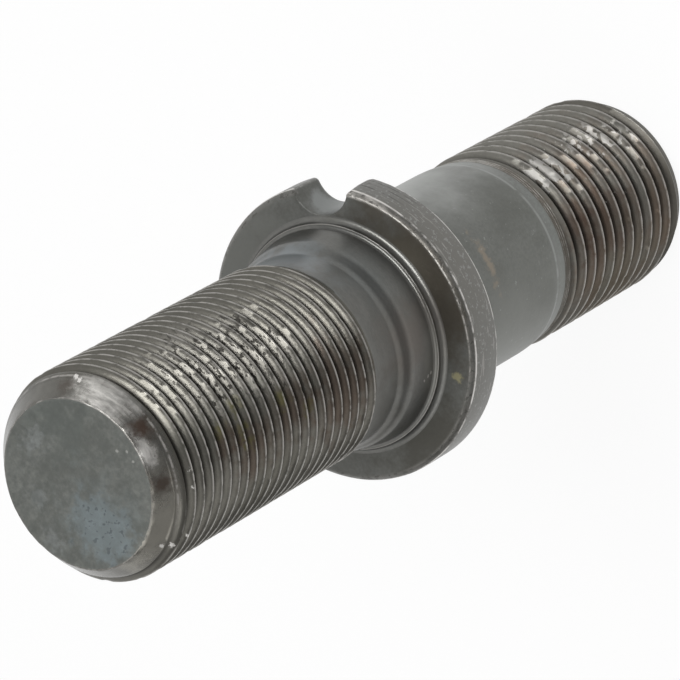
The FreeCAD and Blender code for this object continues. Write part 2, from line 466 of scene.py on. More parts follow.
def trim_thread(piece, pitch, crest_height, low, high, limits, knocked_span):
    """Cut a thread to its length and its limits, and dent it."""
    edit(piece)
    press_flat(low, False)
    press_flat(high, True)
    leave_edit()
    for vertex in piece.data.vertices:
        place = vertex.co / MM
        bearing = math.atan2(place.y, place.x)
        turned = bearing / (2 * math.pi)
        radius = CREST - pitch * groove_depth((place.z - crest_height) / pitch - turned)
        floor, ceiling = limits(place.z)
        dent = max(0.0, noise.noise(place / DENT_SIZE) - DENT_START) * DENT_DEPTH
        near_crest = ramp(radius, CREST - CREST_BAND, CREST, 0, 1)
        knocked = ramp(abs(bearing - KNOCK_BEARING), KNOCK_HALF / 2, KNOCK_HALF, 1, 0)
        knocked *= ramp(place.z, knocked_span[0] - KNOCK_FADE, knocked_span[0], 0, 1)
        knocked *= ramp(place.z, knocked_span[1], knocked_span[1] + KNOCK_FADE, 1, 0)
        spot = Vector(a / b for a, b in zip(place, KNOCK_SIZE))
        knock = max(0.0, noise.noise(spot) - KNOCK_START) * KNOCK_DEPTH * knocked
        worn = min(radius - dent * near_crest, CREST - knock)
        trimmed = min(ceiling, max(floor, worn)) if ceiling > floor else ceiling
        vertex.co.xy *= trimmed / place.xy.length
    edit(piece)
    merge_doubles()
    leave_edit()
    print(piece.name, "trimmed to", len(piece.data.vertices), "points")


trim_thread(fine, FINE_PITCH, FINE_CREST_AT, NECK_TOP[1], LENGTH, fine_limits, FINE_KNOCKED)
trim_thread(coarse, COARSE_PITCH, COARSE_CREST_AT, 0.0, WAIST[1], coarse_limits, COARSE_KNOCKED)

# %% [markdown]
# ## One bar again
# The two threads and the middle share their rings of points, so joining them and merging the
# doubles makes one closed skin. The end faces are closed by drawing the last ring in to the axis.
# The edge of the fine end is chipped all round, so its points are pushed in a little by a noise.

# %% Join and close the ends


def close_end(height, radii):
    """Draw the open ring at one end inwards, ring by ring, and close it at the axis."""
    pick("EDGE", lambda edge: edge.is_boundary and lies_at(edge, height))
    grow_rings([(radius, height) for radius in radii])
    bpy.ops.mesh.extrude_region_move(TRANSFORM_OT_translate={"value": (0, 0, 0)})
    bpy.ops.mesh.merge(type="COLLAPSE")


bpy.ops.object.select_all(action="DESELECT")
for piece in (fine, coarse, bolt):
    piece.select_set(True)
bpy.context.view_layer.objects.active = bolt
bpy.ops.object.join()
edit(bolt)
merge_doubles()
END_RADIUS = CREST - CHAMFER_DROP
FINE_END_RINGS = (END_RADIUS, 8.45, 6.0, 4.0, 2.0)
COARSE_END_RINGS = (10.0, 9.0, 6.0, 3.0)
END_EDGE = 0.09
CHIP_REACH = 0.2
CHIP_SIZE = 0.9
CHIP_START = 0.05
CHIP_IN = 0.132
CHIP_DOWN = 0.176
SMOOTH_BELOW = math.radians(38)
close_end(LENGTH, FINE_END_RINGS)
close_end(0.0, COARSE_END_RINGS)
bevel(on_ring(END_RADIUS, LENGTH), END_EDGE, 2)
for vertex in bmesh.from_edit_mesh(bolt.data).verts:
    place = vertex.co / MM
    if math.hypot(place.xy.length - END_RADIUS, place.z - LENGTH) < CHIP_REACH:
        chip = max(0.0, noise.noise(place / CHIP_SIZE) - CHIP_START)
        vertex.co.xy *= 1 - CHIP_IN * chip / END_RADIUS
        vertex.co.z -= CHIP_DOWN * chip * MM
merge_doubles()
face_outwards()
open_edges = [edge for edge in bmesh.from_edit_mesh(bolt.data).edges if not edge.is_manifold]
leave_edit()
bpy.ops.object.shade_smooth_by_angle(angle=SMOOTH_BELOW)
triangles = sum(len(face.vertices) - 2 for face in bolt.data.polygons)
print("bolt:", triangles, "triangles,", len(open_edges), "open edges")

# %% [markdown]
# ## Tools for the finishes
# The steel is dark from phosphate and oil, bright where it was rubbed, and brown or olive where old
# oil has dried. All of that follows the turned form, so a few small helpers come first: one adds a
# node with its values, three do arithmetic, one makes a soft step, one a noise, and the last two make
# and place node groups. A helper that works on a value adds its node to the tree of that value.

# %% Node helpers


def put(tree, kind, settings=None, inputs=None):
    """Add a shader node, set its properties, and fill or link its inputs."""
    node = tree.nodes.new("ShaderNode" + kind)
    for name, value in (settings or {}).items():
        setattr(node, name, value)
    for name, value in (inputs or {}).items():
        if isinstance(value, bpy.types.NodeSocket):
            tree.links.new(value, node.inputs[name])
        else:
            node.inputs[name].default_value = value
    return node


def calc(tree, operation, *values):
    """The result of one Math node."""
    return put(tree, "Math", {"operation": operation}, dict(enumerate(values))).outputs[0]


def times(one, other):
    """The product of two values; of two masks it keeps what lies in both."""
    return calc(one.id_data, "MULTIPLY", one, other)


def vector(operation, one, other):
    """The result of one Vector Math node."""
    return put(one.id_data, "VectorMath", {"operation": operation}, {0: one, 1: other}).outputs[0]


def fade(value, start, end):
    """A soft step, from 0 where the value is start to 1 where it is end."""
    inputs = {"Value": value, "From Min": start, "From Max": end}
    settings = {"interpolation_type": "SMOOTHSTEP"}
    return put(value.id_data, "MapRange", settings, inputs).outputs["Result"]


def blotches(place, size, detail=4.0):
    """A noise whose blotches are about this size, from 0 to 1 with its middle at 0.5."""
    scale = calc(place.id_data, "DIVIDE", 1.0, size)
    inputs = {"Vector": place, "Scale": scale, "Detail": detail, "Roughness": 0.65}
    return put(place.id_data, "TexNoise", None, inputs).outputs[0]


def new_group(name, inputs, outputs):
    """A node group with named sockets; gives its tree, what comes in and what goes out."""
    tree = bpy.data.node_groups.new(name, "ShaderNodeTree")
    for label, value in inputs.items():
        kind = "Vector" if isinstance(value, tuple) else "Float"
        socket = tree.interface.new_socket(label, in_out="INPUT", socket_type="NodeSocket" + kind)
        socket.default_value = value
    for label, kind in outputs.items():
        tree.interface.new_socket(label, in_out="OUTPUT", socket_type="NodeSocket" + kind)
    entry = tree.nodes.new("NodeGroupInput")
    leave = tree.nodes.new("NodeGroupOutput")
    return tree, entry.outputs, leave.inputs


def use(tree, group, inputs=None):
    """Place a node group in a tree and give its outputs."""
    return put(tree, "Group", {"node_tree": group}, inputs).outputs


# %% [markdown]
# ### Where a point lies on the bar
# Every later effect asks the same question: how far from the axis is this point, and how high up?
# Object coordinates answer it, because the bolt's axis is the Z axis of its own frame. The group
# works in millimetres, so that all later sizes read like those on a drawing.

# %% Group: turned place
turned_place, entry, leave = new_group(
    "turned_place", {}, {"Place": "Vector", "Radius": "Float", "Height": "Float"})
coordinates = put(turned_place, "TexCoord").outputs["Object"]
in_mm = put(turned_place, "VectorMath", {"operation": "SCALE"}, {0: coordinates, "Scale": 1 / MM})
flat = vector("MULTIPLY", in_mm.outputs[0], (1, 1, 0))
across = put(turned_place, "VectorMath", {"operation": "LENGTH"}, {0: flat})
parts = put(turned_place, "SeparateXYZ", None, {0: in_mm.outputs[0]})
turned_place.links.new(in_mm.outputs[0], leave["Place"])
turned_place.links.new(across.outputs["Value"], leave["Radius"])
turned_place.links.new(parts.outputs["Z"], leave["Height"])
print(turned_place.name, "gives", [socket.name for socket in leave if socket.name])

# %% [markdown]
# ### Mottle and grain
# Phosphate takes unevenly, and oil dries in clouds. Two noises of different size are enough: a
# cloud for colour and a fine grain for the surface. A stretch input pulls both out round the bar or
# along it, and a shift gives each finish clouds of its own.

# %% Group: oil mottle
oil_mottle, entry, leave = new_group(
    "oil_mottle",
    {"Size": 4.0, "Grain Size": 0.3, "Stretch": (1, 1, 1), "Shift": 0.0},
    {"Cloud": "Float", "Grain": "Float"})
place = use(oil_mottle, turned_place)["Place"]
shifted = vector("ADD", place, entry["Shift"])
pulled = vector("MULTIPLY", shifted, entry["Stretch"])
cloud = fade(blotches(pulled, entry["Size"], 5.0), 0.32, 0.68)
grain = fade(blotches(pulled, entry["Grain Size"], 3.0), 0.3, 0.7)
oil_mottle.links.new(cloud, leave["Cloud"])
oil_mottle.links.new(grain, leave["Grain"])
print(oil_mottle.name, "has", len(oil_mottle.nodes), "nodes")

# %% [markdown]
# ### Worn ring
# A turned edge is a circle, so the wear on it is everything close to one radius and one height. The
# line is broken up by noise, because handling never rubs an edge evenly.

# %% Group: worn ring
worn_ring, entry, leave = new_group(
    "worn_ring",
    {"Ring Radius": 16.0, "Ring Height": 52.0, "Width": 0.2, "Broken": 0.5, "Patch": 1.5},
    {"Mask": "Float"})
bar = use(worn_ring, turned_place)
off_radius = calc(worn_ring, "SUBTRACT", bar["Radius"], entry["Ring Radius"])
off_height = calc(worn_ring, "SUBTRACT", bar["Height"], entry["Ring Height"])
squares = calc(worn_ring, "ADD", calc(worn_ring, "POWER", off_radius, 2.0),
               calc(worn_ring, "POWER", off_height, 2.0))
apart = calc(worn_ring, "SQRT", squares)
line = fade(apart, entry["Width"], times(entry["Width"], 0.3))
patches = blotches(bar["Place"], entry["Patch"])
kept = fade(patches, calc(worn_ring, "SUBTRACT", entry["Broken"], 0.1),
            calc(worn_ring, "ADD", entry["Broken"], 0.1))
worn_ring.links.new(times(line, kept), leave["Mask"])
print(worn_ring.name, "has", len(worn_ring.nodes), "nodes")

# %% [markdown]
# ### Crest and root
# On a thread the radius alone tells crest from root. Crests are rubbed bright, roots hold dirt. On
# the coarse thread the root mask, started higher up, also places painted shade on the flanks.

# %% Group: crest and root
crest_and_root, entry, leave = new_group(
    "crest_and_root",
    {"Crest": 11.0, "Depth": 0.9, "Patch": 1.2, "Root From": 0.45},
    {"Rubbed": "Float", "Root": "Float"})
bar = use(crest_and_root, turned_place)
sunk = calc(crest_and_root, "SUBTRACT", entry["Crest"], bar["Radius"])
share = calc(crest_and_root, "DIVIDE", sunk, entry["Depth"])
top = fade(share, 0.10, 0.02)
rub = blotches(bar["Place"], entry["Patch"])
kept = fade(rub, 0.32, 0.56)
crest_and_root.links.new(times(top, kept), leave["Rubbed"])
crest_and_root.links.new(fade(share, entry["Root From"], 0.95), leave["Root"])
print(crest_and_root.name, "has", len(crest_and_root.nodes), "nodes")

# %% [markdown]
# ### Stain and flecks
# A stain is a blot round one place, with a ragged, soft edge. Flecks are small scattered specks:
# pits that hold dirt, or spots that shine. Flakes are the angular patches that break out of a
# brittle layer: a Voronoi texture cuts the surface into cells, and a share of them is taken.

# %% Groups: stain, flecks and flakes
stain, entry, leave = new_group(
    "stain",
    {"Centre": (0, 0, 0), "Squeeze": (1, 1, 1), "Reach": 2.0, "Ragged": 0.5, "Patch": 1.0, "Soft": 0.6},
    {"Mask": "Float"})
place = use(stain, turned_place)["Place"]
offset = vector("SUBTRACT", place, entry["Centre"])
shaped = vector("MULTIPLY", offset, entry["Squeeze"])
apart = put(stain, "VectorMath", {"operation": "LENGTH"}, {0: shaped}).outputs["Value"]
near = calc(stain, "DIVIDE", apart, entry["Reach"])
swing = calc(stain, "SUBTRACT", blotches(place, entry["Patch"]), 0.5)
edge = calc(stain, "MULTIPLY_ADD", times(swing, entry["Ragged"]), 4.0, near)
inside = fade(edge, 1.0, calc(stain, "SUBTRACT", 1.0, entry["Soft"]))
stain.links.new(inside, leave["Mask"])

flecks, entry, leave = new_group(
    "flecks", {"Size": 0.6, "Share": 0.2, "Stretch": (1, 1, 1)}, {"Mask": "Float"})
place = use(flecks, turned_place)["Place"]
pulled = vector("MULTIPLY", place, entry["Stretch"])
limit = calc(flecks, "MULTIPLY_ADD", entry["Share"], -0.3, 0.72)
spots = blotches(pulled, entry["Size"], 2.0)
flecks.links.new(fade(spots, limit, calc(flecks, "ADD", limit, 0.06)), leave["Mask"])

flakes, entry, leave = new_group(
    "flakes", {"Size": 0.8, "Share": 0.3, "Stretch": (1, 1, 1)}, {"Mask": "Float"})
place = use(flakes, turned_place)["Place"]
pulled = vector("MULTIPLY", place, entry["Stretch"])
scale = calc(flakes, "DIVIDE", 1.0, entry["Size"])
cells = put(flakes, "TexVoronoi", None, {"Vector": pulled, "Scale": scale})
lot = put(flakes, "SeparateColor", None, {0: cells.outputs["Color"]}).outputs[0]
flakes.links.new(calc(flakes, "LESS_THAN", lot, entry["Share"]), leave["Mask"])
print("groups:", [group.name for group in bpy.data.node_groups])

# %% [markdown]
# ## Building up a finish
# A finish starts as one colour and one roughness and is then built up in coats, the way it comes
# about on the real bolt: steel, phosphate, oil, dirt, and rubbing last of all. Each coat is a mask
# with its own colour and roughness, and some coats also raise or sink the surface a little. A few
# coats paint light and shade instead: sheens, highlights, reflections and shade.

# %% Coats


def mottled(tree, size, grain_size, shift, stretch=(1, 1, 1)):
    """Cloud and grain of the oil mottle, of these sizes in millimetres."""
    return use(tree, oil_mottle, {"Size": size, "Grain Size": grain_size, "Shift": shift,
                                  "Stretch": stretch})


def scattered(tree, group, size, share, stretch=(1, 1, 1)):
    """A mask of scattered flecks or flakes."""
    return use(tree, group, {"Size": size, "Share": share, "Stretch": stretch})["Mask"]


def new_finish(name, colour, roughness):
    """A finish of one colour and roughness, and the node tree that its coats go into."""
    material = bpy.data.materials.new(name)
    material.use_nodes = True
    material.node_tree.nodes.clear()
    finish = {"material": material, "tree": material.node_tree, "colour": (*colour, 1),
              "roughness": roughness, "height": 0.5}
    return finish, material.node_tree


def coat(finish, mask, colour, roughness, rise=0.0, amount=1.0):
    """Lay a colour and a roughness over what is there, where the mask is 1."""
    tree = finish["tree"]
    if amount < 1.0:
        mask = times(mask, amount)
    mixed = put(tree, "Mix", {"data_type": "RGBA"}, {0: mask, 6: finish["colour"], 7: (*colour, 1)})
    finish["colour"] = mixed.outputs[2]
    rough = put(tree, "Mix", {"data_type": "FLOAT"}, {0: mask, 2: finish["roughness"], 3: roughness})
    finish["roughness"] = rough.outputs[0]
    if rise:
        finish["height"] = calc(tree, "MULTIPLY_ADD", mask, rise, finish["height"])


def blot(finish, centre, reach, colour, roughness, amount=1.0, ragged=0.5, patch=1.0, soft=0.6,
         squeeze=(1, 1, 1), rise=0.0, only=None):
    """A coat in one place: a ragged stain round a centre, kept to another mask if one is given.

    Reach is its radius and patch the size of its raggedness, in millimetres. Ragged and soft say how
    torn and how wide its edge is, and a squeeze above 1 makes it narrower along X, Y or Z.
    """
    tree = finish["tree"]
    mask = use(tree, stain, {"Centre": centre, "Reach": reach, "Ragged": ragged, "Patch": patch,
                             "Soft": soft, "Squeeze": squeeze})["Mask"]
    if only is not None:
        mask = times(mask, only)
    coat(finish, mask, colour, roughness, rise, amount)
    return mask


def blots(finish, radius, spots, *values, **more):
    """The same blot in several spots of one radius, each with its bearing, height and reach."""
    for bearing, height, reach in spots:
        blot(finish, at(bearing, height, radius), reach, *values, **more)


def ring_mask(tree, radius, height, width, broken, patch):
    """A broken line along one turned edge."""
    return use(tree, worn_ring, {"Ring Radius": radius, "Ring Height": height, "Width": width,
                                 "Broken": broken, "Patch": patch})["Mask"]


def wear_edge(finish, radius, height, width, broken, colour, amount=1.0, patch=1.5, roughness=0.36):
    """A coat along one turned edge."""
    mask = ring_mask(finish["tree"], radius, height, width, broken, patch)
    coat(finish, mask, colour, roughness, 0.0, amount)


def finish_off(finish, metallic, bump):
    """Close a finish with its shader; bump is the height of its relief in millimetres."""
    tree = finish["tree"]
    relief = put(tree, "Bump", None, {"Height": finish["height"], "Distance": bump * MM})
    shader = put(tree, "BsdfPrincipled", None,
                 {"Base Color": finish["colour"], "Roughness": finish["roughness"],
                  "Metallic": metallic, "Normal": relief.outputs[0]})
    put(tree, "OutputMaterial", None, {"Surface": shader.outputs[0]})
    print(finish["material"].name, "has", len(tree.nodes), "nodes")
    return finish["material"]


def at(bearing, height, radius):
    """A place on the bar, from its bearing in degrees, height and radius in millimetres."""
    angle = math.radians(bearing)
    return Vector((radius * math.cos(angle), radius * math.sin(angle), height))


RUBBED = (0.40, 0.385, 0.36)
BARE = (0.52, 0.50, 0.47)
BRIGHT = (0.74, 0.72, 0.69)
OLIVE = (0.115, 0.105, 0.045)
BROWN = (0.075, 0.050, 0.036)
RUST = (0.060, 0.038, 0.028)
# The darkest tone: dirt, and on the coarse thread painted shade as well.
DIRT_AND_SHADE = (0.022, 0.020, 0.017)

# %% [markdown]
# ### End face
# The cut end is dull and grey-green, with a paler, bluish bruise where it was struck or stacked,
# some dark scuffs in that bruise, a few bright specks and a bright line round its edge.

# %% Finish: end face
steel, tree = new_finish("dull_end_face", (0.152, 0.159, 0.146), 0.52)
mottle = mottled(tree, 3.5, 0.55, 0.0)
coat(steel, mottle["Cloud"], (0.212, 0.219, 0.203), 0.46)
coat(steel, mottle["Grain"], (0.112, 0.117, 0.108), 0.58, 0.4, 0.5)
blot(steel, (3.4, 5.4, LENGTH), 5.0, (0.120, 0.134, 0.124), 0.52, 0.6, 0.6, 2.5, 0.9)
blot(steel, (-0.6, -3.2, LENGTH), 6.0, (0.198, 0.220, 0.214), 0.46, 0.7, 0.6, 2.5, 0.9)
bruise = blot(steel, (-1.6, -4.5, LENGTH), 4.2, (0.215, 0.255, 0.268), 0.44, 0.8, 0.5, 1.6, 0.55)
for centre, reach in (((0.5, 6.0), 1.6), ((-1.0, 6.4), 1.4), ((-4.8, 2.4), 1.5), ((-7.4, -1.4), 1.8)):
    blot(steel, (*centre, LENGTH), reach, (0.25, 0.265, 0.262), 0.48, 0.65, 0.8, 0.7, 0.9)
small_mottle = mottled(tree, 1.3, 0.3, 3.0)
coat(steel, small_mottle["Cloud"], (0.108, 0.116, 0.108), 0.54, 0.2, 0.6)
coat(steel, times(small_mottle["Cloud"], bruise), (0.22, 0.26, 0.27), 0.5, 0.0, 0.5)
scuffs = scattered(tree, flecks, 0.8, 0.5, (1.0, 1.3, 1.0))
coat(steel, times(scuffs, bruise), (0.075, 0.083, 0.088), 0.6, -0.3, 0.55)
for centre, reach in (((6.5, -1.3), 0.26), ((7.3, -2.1), 0.22), ((7.0, -3.2), 0.2)):
    blot(steel, (*centre, LENGTH), reach, (0.36, 0.36, 0.34), 0.45, 0.9, 0.35, 0.3)
wear_edge(steel, END_RADIUS, LENGTH, 0.11, 0.54, RUBBED, 0.6, 0.7, 0.55)
end_face = finish_off(steel, 0.7, 0.03)

# %% [markdown]
# ### Fine thread
# The nut's thread is dark in its roots, with thin bright crests all round. Its flanks are rubbed and
# pitted on the side where it was knocked about, and there they are also painted lighter where the soft
# box draws its bright band: a painted highlight. Next to that they are stained brown and olive. The
# chamfer in front of it is turned bare, brushed bright in two places and stained in a few.

# %% Finish: fine thread
steel, tree = new_finish("fine_thread_steel", (0.112, 0.108, 0.094), 0.31)
bar = use(tree, turned_place)
mottle = mottled(tree, 5.0, 0.25, 17.0, (1, 1, 1.6))
coat(steel, mottle["Cloud"], (0.142, 0.136, 0.119), 0.30)
coat(steel, mottle["Grain"], (0.088, 0.084, 0.072), 0.34, 0.3, 0.4)
blots(steel, CREST, ((-44, 68, 7.5), (-40, 77, 5.0), (-50, 84, 4.5), (-38, 88, 3.0)),
      BROWN, 0.36, 0.65, 0.5, 2.0, 0.8)
blots(steel, CREST, ((-22, 85.4, 1.4), (-23, 84.5, 1.2), (-31, 88.4, 1.2), (-37, 85.2, 1.2),
                     (-33, 78, 1.5), (-45, 74.5, 1.3), (-45, 85, 1.2)),
      OLIVE, 0.5, 0.8, 0.7, 0.8, 0.8, rise=0.1)
blot(steel, at(-76, 81, CREST), 7.0, (0.078, 0.074, 0.060), 0.33, 0.45, 0.4, 2.5, 0.9)
on_cone = fade(bar["Height"], 95.9, 96.6)
chamfer_tone = mottled(tree, 2.0, 0.3, 5.0)
coat(steel, on_cone, (0.125, 0.122, 0.110), 0.22)
coat(steel, times(on_cone, chamfer_tone["Cloud"]), (0.16, 0.156, 0.142), 0.24)
blot(steel, at(-70, 97.1, 9.9), 9.0, (0.34, 0.325, 0.285), 0.30, 0.8, 0.3, 2.0, 0.9, only=on_cone)
brush = mottled(tree, 0.8, 0.2, 11.0, (0.35, 0.35, 2.5))
brushed = times(on_cone, calc(tree, "MULTIPLY_ADD", brush["Cloud"], 0.6, 0.4))
blot(steel, at(17, 97.1, 9.9), 5.2, (0.82, 0.80, 0.76), 0.36, 1.0, 0.3, 1.2, 0.95, only=brushed)
blot(steel, at(-22, 98.0, 9.2), 1.7, BRIGHT, 0.34, 1.0, 0.25, 0.6, 0.8, (1.0, 0.7, 1.4), only=brushed)
for bearing, height, reach, amount in ((-8, 97.2, 1.7, 0.9), (-14, 97.0, 1.3, 0.7), (-43, 97.5, 1.7, 0.75),
                                       (46, 97.2, 1.8, 0.4)):
    blot(steel, at(bearing, height, 9.6), reach, RUST, 0.4, amount, 0.45, 0.9, 0.95, only=on_cone)
wear_edge(steel, 10.36, 96.5, 0.16, 0.48, BARE, 0.85, 0.9)
worn_and_highlit = use(tree, stain, {"Centre": at(2, 82, CREST), "Squeeze": (1, 1, 0.6), "Reach": 7.5,
                            "Ragged": 0.4, "Patch": 2.0})["Mask"]
pits = scattered(tree, flecks, 0.45, 0.6, (0.6, 0.6, 2.2))
# These two lighter coats are partly a painted highlight: they brighten the band where the soft box shines.
coat(steel, worn_and_highlit, (0.125, 0.120, 0.106), 0.37, 0.0, 0.6)
coat(steel, times(worn_and_highlit, mottle["Grain"]), (0.18, 0.174, 0.158), 0.36, 0.0, 0.6)
coat(steel, times(pits, worn_and_highlit), DIRT_AND_SHADE, 0.55, -0.2, 0.85)
blots(steel, CREST, ((19, 75.8, 0.5), (15.5, 76.2, 0.4), (10, 86.4, 0.55), (14.5, 80.6, 0.5),
                     (9.5, 80.9, 0.4)),
      DIRT_AND_SHADE, 0.55, 0.8, 0.8, 0.4, 0.4, (0.6, 0.6, 1.2), -0.3)
thread = use(tree, crest_and_root, {"Crest": CREST, "Depth": FINE_GROOVE})
in_thread = fade(bar["Height"], 96.9, 96.2)
coat(steel, times(thread["Root"], in_thread), DIRT_AND_SHADE, 0.6, 0.0, 0.85)
coat(steel, thread["Rubbed"], RUBBED, 0.34, 0.0, 0.8)
wear_edge(steel, CREST, CHAMFER_START, 0.3, 0.5, RUBBED, 0.7)
wear_edge(steel, CREST - 0.1, NECK_TOP[1] + NECK_RUN, 0.2, 0.42, BARE, 0.8)
wear_edge(steel, END_RADIUS, LENGTH, 0.12, 0.0, (0.16, 0.155, 0.145), 0.8, 0.7, 0.55)
wear_edge(steel, END_RADIUS, LENGTH, 0.12, 0.54, RUBBED, 0.65, 0.7, 0.5)
for bearing, height, radius in ((-41, 94.9, 11.0), (-39, 94.0, 11.0), (-50, 94.9, 11.0), (-79, 94.7, 11.0),
                                (-84, 96.9, 10.0), (-83, 96.2, 10.6), (42, 96.6, 10.3), (39, 96.8, 10.1)):
    blot(steel, at(bearing, height, radius), 0.35, BRIGHT, 0.4, 0.95, 0.7, 0.35, 0.5, rise=0.2)
fine_steel = finish_off(steel, 0.85, 0.03)

# %% [markdown]
# ### Neck and boss
# This stretch was turned smooth and is glossy: a dark grey with faint streaks round the bar, paler
# and bluish next to the notch, where that pale blue is a painted reflection. Low on the boss on the
# other side lies a paler grey painted reflection, and the ledge at its foot is painted dark as shade.

# %% Finish: neck and boss
steel, tree = new_finish("polished_neck_steel", (0.140, 0.139, 0.128), 0.32)
mottle = mottled(tree, 6.0, 0.4, 31.0, (1, 1, 3.0))
coat(steel, mottle["Cloud"], (0.174, 0.173, 0.163), 0.34)
coat(steel, mottle["Grain"], (0.096, 0.097, 0.094), 0.38, 0.2, 0.35)
# Pale bluish on the neck's upper side, towards the notch: a painted reflection.
blot(steel, at(62, 59.5, 10.5), 7.5, (0.24, 0.265, 0.28), 0.34, 0.75, 0.4, 3.0, 0.9, (0.7, 0.7, 1.4))
blot(steel, at(8, 57.0, 11.0), 5.0, (0.110, 0.125, 0.125), 0.34, 0.3, 0.4, 3.0, 0.9, (0.6, 0.6, 1.0))
blot(steel, at(-40, 55.5, 11.3), 6.5, (0.150, 0.134, 0.120), 0.36, 0.7, 0.4, 3.0, 0.9)
# Dark on the ledge at the boss's foot, towards the notch: painted shade.
blot(steel, at(36, 53.05, 12.25), 4.6, (0.055, 0.056, 0.054), 0.5, 0.5, 0.3, 1.5, 0.7, (1, 1, 8))
blot(steel, at(-85, 59.5, 10.8), 8.0, (0.098, 0.096, 0.085), 0.34, 0.8, 0.4, 3.0, 0.9, (1, 1, 1.5))
# A paler grey band low on the boss, away from the notch: a painted reflection of a broad light.
blot(steel, at(-55, 53.6, 12.0), 6.0, (0.21, 0.207, 0.190), 0.38, 0.8, 0.3, 3.0, 0.8, (1, 1, 3))
blots(steel, 11.7, ((-60.5, 53.6, 0.26), (-62, 54.0, 0.26), (-63.5, 54.5, 0.26)),
      BARE, 0.4, 0.9, 0.6, 0.25, 0.5, (1, 1, 2), -0.3)
wear_edge(steel, *LEDGE_OUT, 0.14, 0.4, RUBBED, 0.5, 3.0)
neck_steel = finish_off(steel, 0.9, 0.015)

# %% [markdown]
# ### Collar
# The collar is grey-green and a little rough. Its edges have rubbed against hubs and other bolts, so
# they are the brightest lines on the part, and the rim is scattered with small bright dents. Its top
# face is painted dark brown on the side towards the camera: a painted reflection of the thread.

# %% Finish: collar
steel, tree = new_finish("rubbed_collar_steel", (0.112, 0.113, 0.104), 0.36)
bar = use(tree, turned_place)
mottle = mottled(tree, 4.5, 0.4, 53.0)
coat(steel, mottle["Cloud"], (0.140, 0.143, 0.134), 0.38)
coat(steel, mottle["Grain"], (0.082, 0.080, 0.073), 0.42, 0.4, 0.4)
# Dark brown over the top face towards the camera: a painted reflection of the thread above it.
blot(steel, at(-12, 52.3, 14.0), 13.0, (0.068, 0.058, 0.044), 0.38, 0.8, 0.3, 3.0, 0.7)
blot(steel, at(-95, 52.3, 14.0), 9.0, (0.070, 0.067, 0.057), 0.40, 0.8, 0.4, 3.0, 0.8)
blot(steel, at(100, 52.3, 14.0), 10.0, (0.150, 0.153, 0.142), 0.38, 0.8, 0.3, 3.0, 0.8)
blot(steel, at(45, 50.0, 13.6), 3.8, (0.23, 0.24, 0.235), 0.40, 0.9, 0.3, 2.0, 0.5, (1, 1, 1.6))
blot(steel, at(-61.2, 52.3, 14.1), 0.75, (0.27, 0.25, 0.15), 0.5, 0.85, 0.5, 0.5, 0.7, rise=0.1)
dents = scattered(tree, flecks, 0.45, 0.45)
on_rim = fade(bar["Radius"], 15.7, 15.95)
coat(steel, on_rim, (0.192, 0.190, 0.177), 0.40, 0.0, 0.75)
coat(steel, times(dents, on_rim), (0.26, 0.26, 0.25), 0.4, -0.3, 0.8)
scratches = scattered(tree, flecks, 0.5, 0.32, (0.14, 0.14, 1.5))
coat(steel, times(scratches, on_rim), (0.30, 0.29, 0.275), 0.4, -0.2, 0.8)
on_chamfer = times(fade(bar["Radius"], chamfer_in - 0.3, chamfer_in),
                   fade(bar["Height"], chamfer_low - 0.3, chamfer_low))
rubbing = mottled(tree, 0.6, 0.25, 23.0, (0.35, 0.35, 1.6))
rubbed = times(on_chamfer, calc(tree, "MULTIPLY_ADD", rubbing["Cloud"], 0.8, 0.2))
coat(steel, rubbed, (0.19, 0.185, 0.172), 0.42, 0.2, 0.7)
blot(steel, at(30, chamfer_low, 15.8), 5.5, (0.50, 0.48, 0.45), 0.44, 0.95, 0.3, 1.5, 0.6, only=rubbed)
rub_pits = scattered(tree, flecks, 0.5, 0.55, (0.8, 0.8, 1.2))
coat(steel, times(rub_pits, on_chamfer), (0.085, 0.082, 0.075), 0.5, -0.4, 0.75)
wear_edge(steel, COLLAR_TOP[0], chamfer_low, 0.16, 0.44, BRIGHT, 0.9, 2.4)
inner_edge = ring_mask(tree, chamfer_in, COLLAR_TOP[1], 0.14, 0.5, 1.1)
blot(steel, at(-12, COLLAR_TOP[1], chamfer_in), 14.5, RUBBED, 0.46, 0.75, 0.2, 3.0, 0.5, only=inner_edge)
for height in (48.5, 49.2, 50.1):
    ridge = ring_mask(tree, COLLAR_TOP[0], height, 0.16, 0.42, 2.5)
    blot(steel, at(27, height, COLLAR_TOP[0]), 5.5, (0.075, 0.073, 0.066), 0.45, 0.8, 0.2, 2.0, 0.8,
         rise=-0.6, only=ridge)
wear_edge(steel, COLLAR_LOW[0], seat_high, 0.2, 0.46, BRIGHT, 0.8)
collar_steel = finish_off(steel, 0.85, 0.03)

# %% [markdown]
# ### Shank
# The shank is plain and satin, the palest part of the bolt, with a tan streak of dried oil and a few
# pale specks. Its tapered foot is paler still. Its side towards the lights is painted much paler, as a
# painted sheen.

# %% Finish: shank
steel, tree = new_finish("satin_shank_steel", (0.122, 0.126, 0.113), 0.40)
bar = use(tree, turned_place)
mottle = mottled(tree, 8.0, 0.35, 71.0)
coat(steel, mottle["Cloud"], (0.158, 0.163, 0.150), 0.37)
coat(steel, mottle["Grain"], (0.100, 0.103, 0.094), 0.45, 0.3, 0.4)
foot = times(fade(bar["Height"], 27.9, 26.2), fade(bar["Height"], 25.1, 25.5))
coat(steel, calc(tree, "MULTIPLY_ADD", foot, 0.3, times(foot, mottle["Grain"])),
     (0.24, 0.252, 0.242), 0.42, 0.0, 0.45)
at_waist = fade(bar["Height"], 25.5, 25.1)
coat(steel, at_waist, (0.19, 0.172, 0.148), 0.40)
for radius, height in ROLL_MARKS[::2]:
    wear_edge(steel, radius, height, 0.09, 0.5, BARE, 0.75, 1.2)
